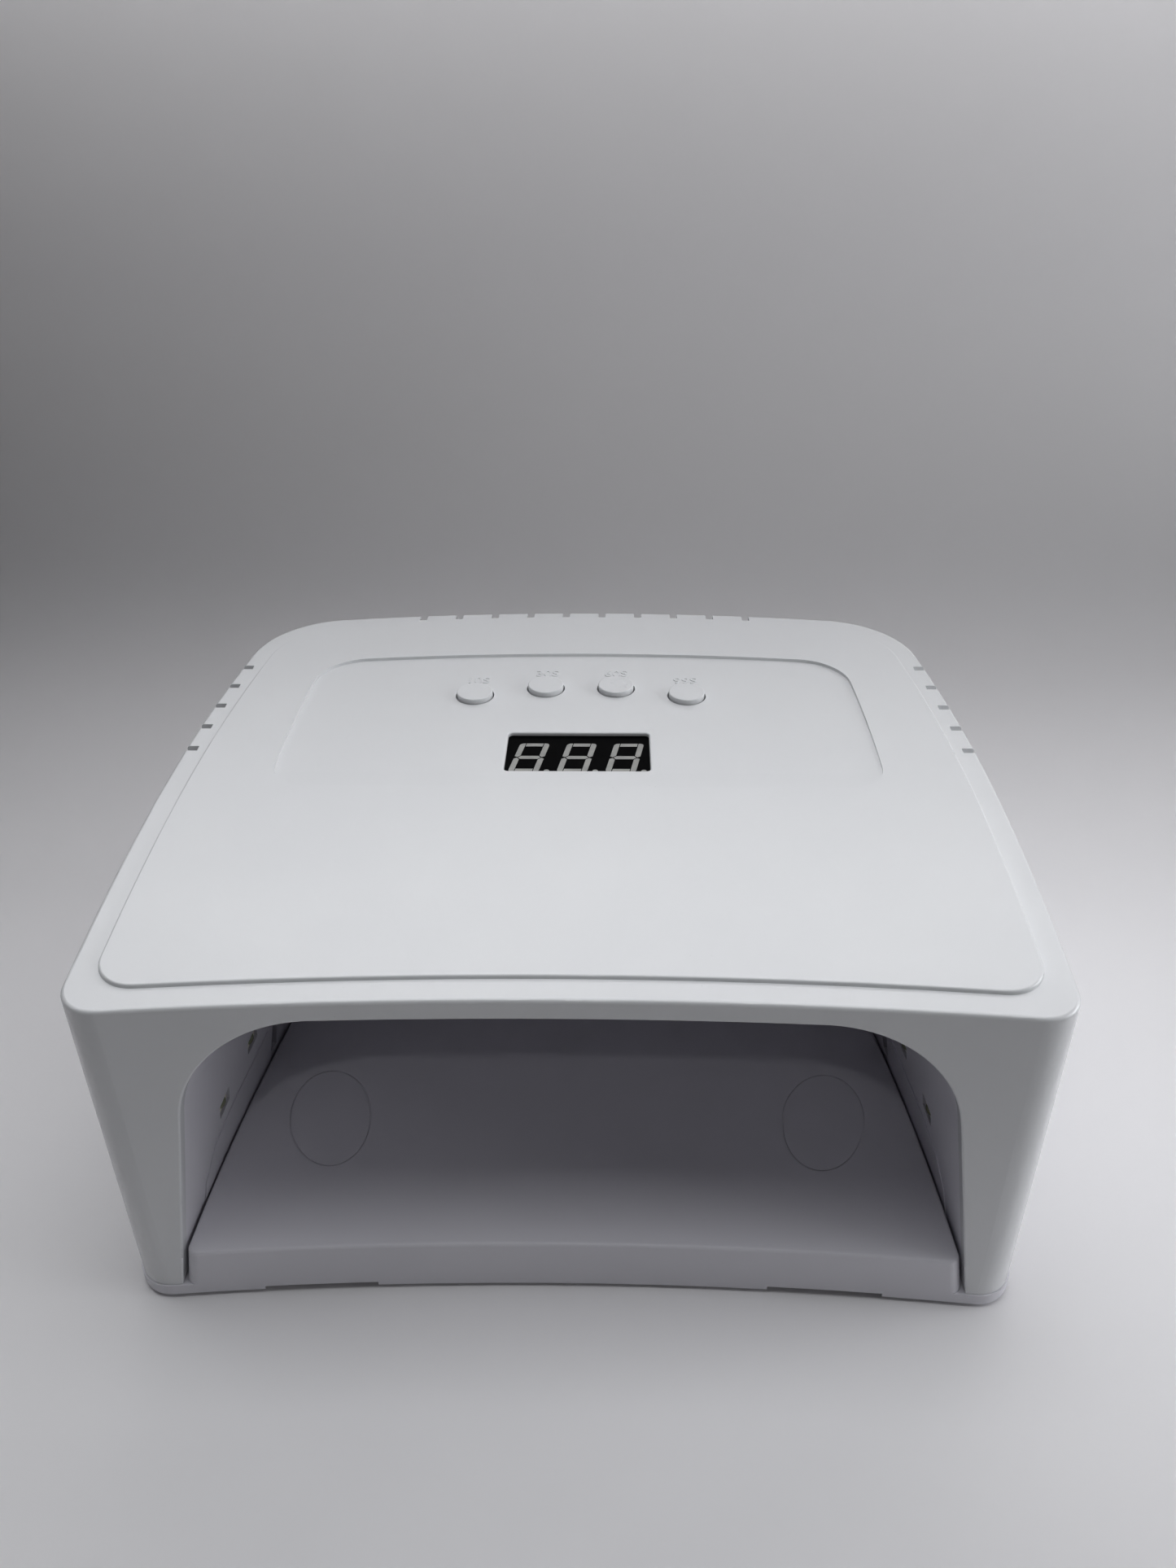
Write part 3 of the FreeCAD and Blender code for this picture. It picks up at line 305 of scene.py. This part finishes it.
def brushed_metal(name, pale, deep, rough, along):
    """Plated metal with fine marks that run one way."""
    made = Recipe(name)
    streaks = made.noise(STREAK_SCALE, 4.0, made.stretched(along))
    made.paint(made.tint(streaks, pale, deep))
    made.gloss(made.spread(streaks, 0.2, 0.8, rough * 0.7, rough * 1.4))
    made.relief([(streaks, STREAK_DEPTH)])
    made.fixed(Metallic=1.0)
    return made.material


def solder_mask(name, field, track, scale):
    """Circuit board lacquer: the tracks below show as a raised net of another shade."""
    made = Recipe(name)
    net = made.node("ShaderNodeTexBrick")
    net.inputs["Scale"].default_value = scale
    net.inputs["Mortar Size"].default_value = TRACK_WIDTH
    made.join(made.space, net.inputs["Vector"])
    lines = net.outputs["Fac"]
    mottled = made.tint(made.noise(200.0, 3.0), field, tuple(0.85 * c for c in field))
    made.paint(made.tint(lines, mottled, track))
    made.uneven_gloss(400.0, 2.0, 0.25, 0.4)
    made.relief([(lines, TRACK_DEPTH), (made.noise(1800.0, 2.0), 0.000004)])
    return made.material


def moulded_rubber(name, pale, deep):
    """Matt rubber with a rough skin."""
    made = Recipe(name)
    made.paint(made.tint(made.noise(350.0, 4.0), pale, deep))
    made.uneven_gloss(900.0, 3.0, 0.7, 0.9)
    made.relief([(made.noise(3000.0, 3.0), 0.00003)])
    return made.material


def display_filter(name):
    """Dark, faintly smoky face of the digit display."""
    made = Recipe(name)
    made.paint(made.tint(made.noise(220.0, 4.0),
                         (0.0012, 0.0012, 0.0015), (0.0025, 0.0025, 0.003)))
    made.uneven_gloss(900.0, 3.0, 0.30, 0.42)
    made.fixed(Specular_IOR_Level=0.02)
    made.relief([(made.noise(1500.0, 2.0), 0.000003)])
    return made.material


def segment_epoxy(name):
    """Unlit milky segments, slightly cloudy."""
    made = Recipe(name)
    cloudy = made.noise(420.0, 4.0)
    made.paint(made.tint(made.spread(cloudy, NOISE_LOW, NOISE_HIGH, 0.0, 1.0),
                         (0.42, 0.42, 0.40), (0.34, 0.34, 0.33)))
    made.uneven_gloss(1600.0, 2.0, 0.3, 0.45)
    made.relief([(made.noise(3200.0, 2.0), 0.000005)])
    return made.material


def led_gel(name):
    """Dull olive silicone over the LED chips."""
    made = Recipe(name)
    made.paint(made.tint(made.noise(900.0, 3.0), (0.34, 0.35, 0.24), (0.24, 0.25, 0.16)))
    made.uneven_gloss(600.0, 2.0, 0.12, 0.25)
    made.relief([(made.noise(1500.0, 1.0), 0.000006)])
    made.fixed(Subsurface_Weight=0.15, Subsurface_Scale=0.001)
    return made.material


def make_materials():
    """Every material that the record's slots name, by that name."""
    white, white_deep = (0.800, 0.808, 0.822), (0.785, 0.793, 0.810)
    lilac, lilac_deep = (0.800, 0.790, 0.836), (0.782, 0.772, 0.822)
    recipes = {
        "housing_white": (moulded_plastic, white, white_deep, 0.34, SMOOTH_GRAIN, 0.6, 0.05),
        "button_white": (moulded_plastic, white, white_deep, 0.32, SMOOTH_GRAIN, 0.3),
        "tray_white": (moulded_plastic, lilac, lilac_deep, 0.46, GRAIN, 0.15),
        "liner_white": (moulded_plastic, lilac, lilac_deep, 0.42, FINE_GRAIN),
        "black_plastic": (moulded_plastic, (0.022, 0.022, 0.024), (0.016, 0.016, 0.018),
                          0.4, GRAIN),
        "connector_cream": (moulded_plastic, (0.72, 0.69, 0.58), (0.66, 0.62, 0.50),
                            0.45, FINE_GRAIN),
        "display_black": (display_filter,),
        "segment_grey": (segment_epoxy,),
        "board_green": (solder_mask, (0.015, 0.13, 0.045), (0.03, 0.22, 0.08), 260.0),
        "led_board_white": (solder_mask, (0.80, 0.80, 0.78), (0.72, 0.72, 0.69), 180.0),
        "led_package": (tinted_gloss, (0.80, 0.78, 0.70), (0.70, 0.68, 0.58), 0.4),
        "led_lens": (led_gel,),
        "sensor_dark": (tinted_gloss, (0.030, 0.012, 0.035), (0.018, 0.008, 0.022), 0.12),
        "capacitor_sleeve": (tinted_gloss, (0.015, 0.025, 0.09), (0.010, 0.016, 0.06), 0.25),
        "wire_insulation": (tinted_gloss, (0.42, 0.03, 0.025), (0.30, 0.02, 0.018), 0.35),
        "steel": (brushed_metal, (0.62, 0.62, 0.63), (0.48, 0.48, 0.50), 0.3,
                  (1.0, 6.0, 1.0)),
        "nickel": (brushed_metal, (0.72, 0.70, 0.66), (0.60, 0.58, 0.54), 0.2,
                   (4.0, 4.0, 1.0)),
        "contact_brass": (brushed_metal, (0.80, 0.62, 0.30), (0.66, 0.49, 0.22), 0.22,
                          (1.0, 0.2, 1.0)),
        "rubber": (moulded_rubber, (0.045, 0.045, 0.05), (0.025, 0.025, 0.03)),
    }
    return {name: make(name, *settings) for name, (make, *settings) in recipes.items()}


def paper():
    """Matt pale paper of the sweep."""
    made = Recipe("paper")
    made.paint(made.tint(made.noise(6.0, 4.0), (0.90, 0.89, 0.905), (0.88, 0.87, 0.885)))
    made.uneven_gloss(50.0, 3.0, 0.55, 0.7)
    made.relief([(made.noise(900.0, 3.0), 0.00001)])
    return made.material


def dress_frame(materials):
    """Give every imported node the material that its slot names."""
    for part in frame["record"]["subparts"]:
        node = nodes[part["node"]]
        for place in node.material_slots:
            place.material = materials[part["material_slot"]]


# ======================= key legends =======================

def make_legend(key, figures, material):
    """Raised figures just behind a key, standing on the pocket floor."""
    joint = next(j for j in frame["joints"] if j["name"] == "press_" + key)
    up = -Vector(joint["axis"]).normalized()
    behind = Vector((0.0, up.z, -up.y))
    low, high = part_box("button_" + key)
    above = (low + high) / 2 + behind * LEGEND_STEP + up * LEGEND_PROBE
    shell = nodes["top_shell"]
    to_shell = shell.matrix_world.inverted()
    place = shell.ray_cast(to_shell @ above, to_shell.to_3x3() @ -up)[1]
    curve = bpy.data.curves.new("legend_" + key, "FONT")
    curve.body = figures
    curve.size = LEGEND_SIZE
    curve.align_x = "CENTER"
    curve.align_y = "CENTER"
    curve.extrude = LEGEND_RAISE
    curve.bevel_depth = LEGEND_RAISE / 3
    curve.bevel_resolution = 1
    writing = bpy.data.objects.new("legend_writing", curve)
    bpy.context.scene.collection.objects.link(writing)
    shape = bpy.data.meshes.new_from_object(
        writing.evaluated_get(bpy.context.evaluated_depsgraph_get()))
    bpy.data.objects.remove(writing)
    shape.materials.clear()
    shape.materials.append(material)
    legend = bpy.data.objects.new("legend_" + key, shape)
    legend.matrix_world = (Matrix.Translation(shell.matrix_world @ place)
                           @ Matrix.Rotation(math.atan2(-up.y, up.z), 4, "X"))
    bpy.context.scene.collection.objects.link(legend)
    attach(legend, "housing")


# ======================= the scene =======================

picture = bpy.context.scene.view_settings
picture.view_transform = "Standard"
picture.exposure = PICTURE_EXPOSURE
picture.gamma = PICTURE_GAMMA
make_camera()
materials = make_materials()
dress_frame(materials)
for key, figures in LEGENDS.items():
    make_legend(key, figures, materials["housing_white"])
make_sweep(paper())
make_lights()
make_backdrop()
